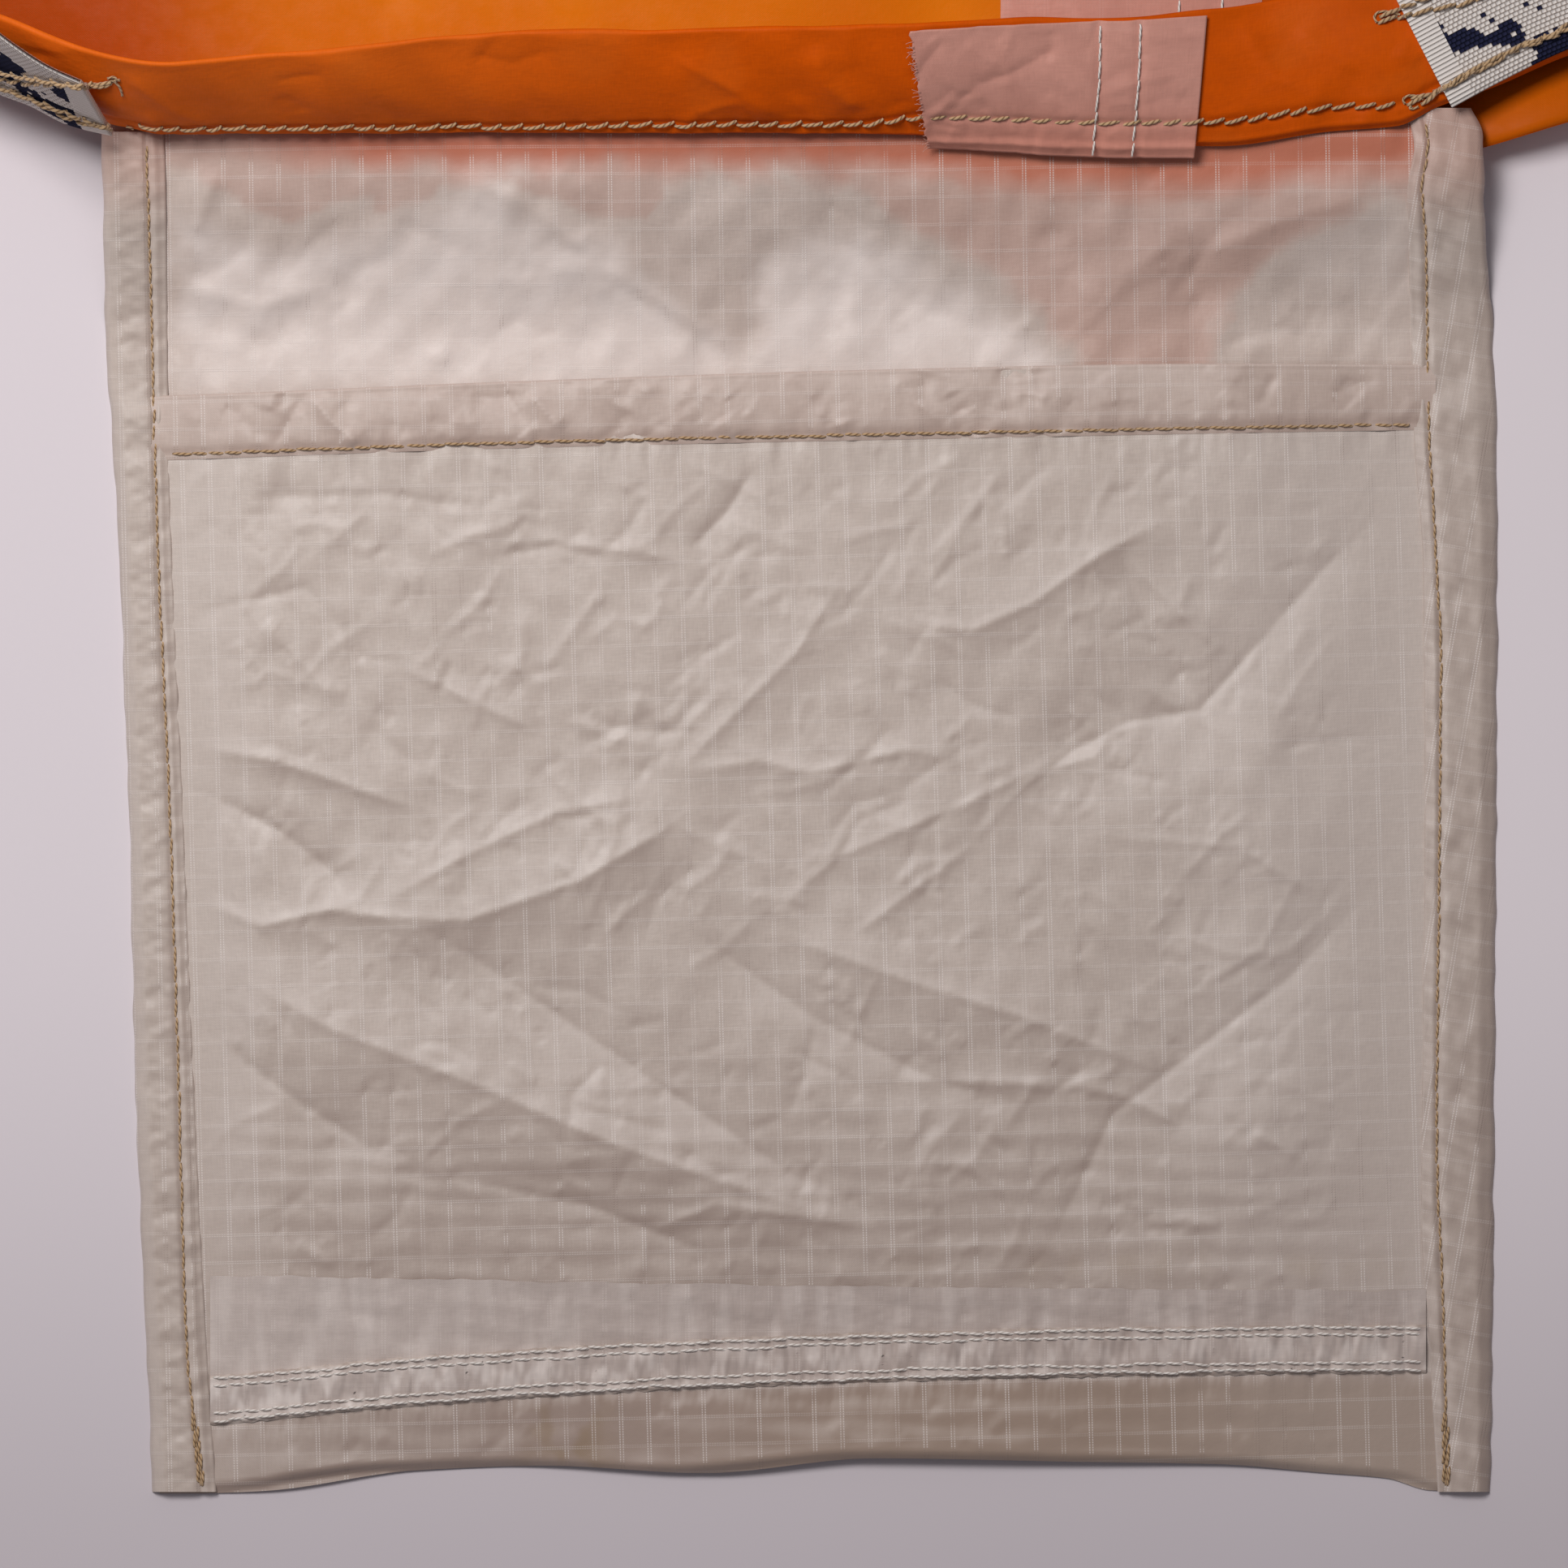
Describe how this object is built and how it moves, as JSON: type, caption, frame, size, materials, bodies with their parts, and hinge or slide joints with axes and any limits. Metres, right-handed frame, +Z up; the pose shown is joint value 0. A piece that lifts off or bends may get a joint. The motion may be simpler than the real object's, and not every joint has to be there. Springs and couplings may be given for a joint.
{
  "type": "tote bag",
  "caption": "Flat tote bag sewn from kite cloth, with its inner stow pocket pulled out in front of the mouth and a webbing shoulder strap.",
  "frame": {"origin": "on the table under the middle of the laid-out bag and pocket together", "axes": "+Y from the pocket towards the bag's bottom seam, +X across the bag to the picture's right, +Z up from the table"},
  "size_m": [0.4496, 0.626, 0.0398],
  "materials": {
    "orange_cloth": "coated ripstop cloth, soft sheen",
    "pale_cloth": "off-white ripstop cloth, soft sheen",
    "pink_cloth": "faded pink ripstop cloth",
    "white_tape": "translucent white seam cloth",
    "webbing": "ribbed woven webbing, off-white with navy blotches",
    "tan_thread": "matt sewing thread",
    "white_thread": "matt sewing thread"
  },
  "bodies": {
    "bag": {"front_panel": "orange_cloth", "back_panel": "orange_cloth", "back_hem": "orange_cloth", "back_hem_thread": "tan_thread", "side_seam_left": "orange_cloth", "side_seam_right": "orange_cloth", "side_seam_thread_left": "tan_thread", "side_seam_thread_right": "tan_thread", "bottom_seam": "orange_cloth", "bottom_seam_thread": "tan_thread", "front_hem": "orange_cloth", "front_hem_thread": "tan_thread", "hem_patch": "pink_cloth", "hem_patch_thread_1": "white_thread", "hem_patch_thread_2": "white_thread", "panel_stripe": "pink_cloth", "panel_stripe_thread_1": "white_thread", "panel_stripe_thread_2": "white_thread", "webbing_end_left": "webbing", "webbing_end_right": "webbing", "webbing_thread_left_lower": "tan_thread", "webbing_thread_left_upper": "tan_thread", "webbing_thread_right_lower": "tan_thread", "webbing_thread_right_upper": "tan_thread"},
    "pocket": {"pocket_back": "pale_cloth", "pocket_pouch": "pale_cloth", "pocket_mouth_hem": "pale_cloth", "pocket_mouth_thread": "tan_thread", "pocket_side_hem_left": "pale_cloth", "pocket_side_hem_right": "pale_cloth", "pocket_side_thread_left": "tan_thread", "pocket_side_thread_right": "tan_thread", "pocket_seam_allowance": "white_tape", "pocket_seam_tape": "white_tape", "pocket_seam_thread_1": "white_thread", "pocket_seam_thread_2": "white_thread", "pocket_seam_thread_3": "white_thread", "pocket_seam_thread_4": "white_thread"},
    "strap": {"shoulder_strap": "webbing"}
  },
  "joints": [
    {"name": "pocket_swing", "type": "hinge", "parent": "bag", "child": "pocket", "pos_m": [0, -0.0752, 0.0136], "axis": [-1, 0, 0], "range_deg": [0, 115]},
    {"name": "strap_swing", "type": "hinge", "parent": "bag", "child": "strap", "pos_m": [0, -0.03855, 0.01315], "axis": [1, 0, 0], "range_deg": [0, 150]}
  ]
}
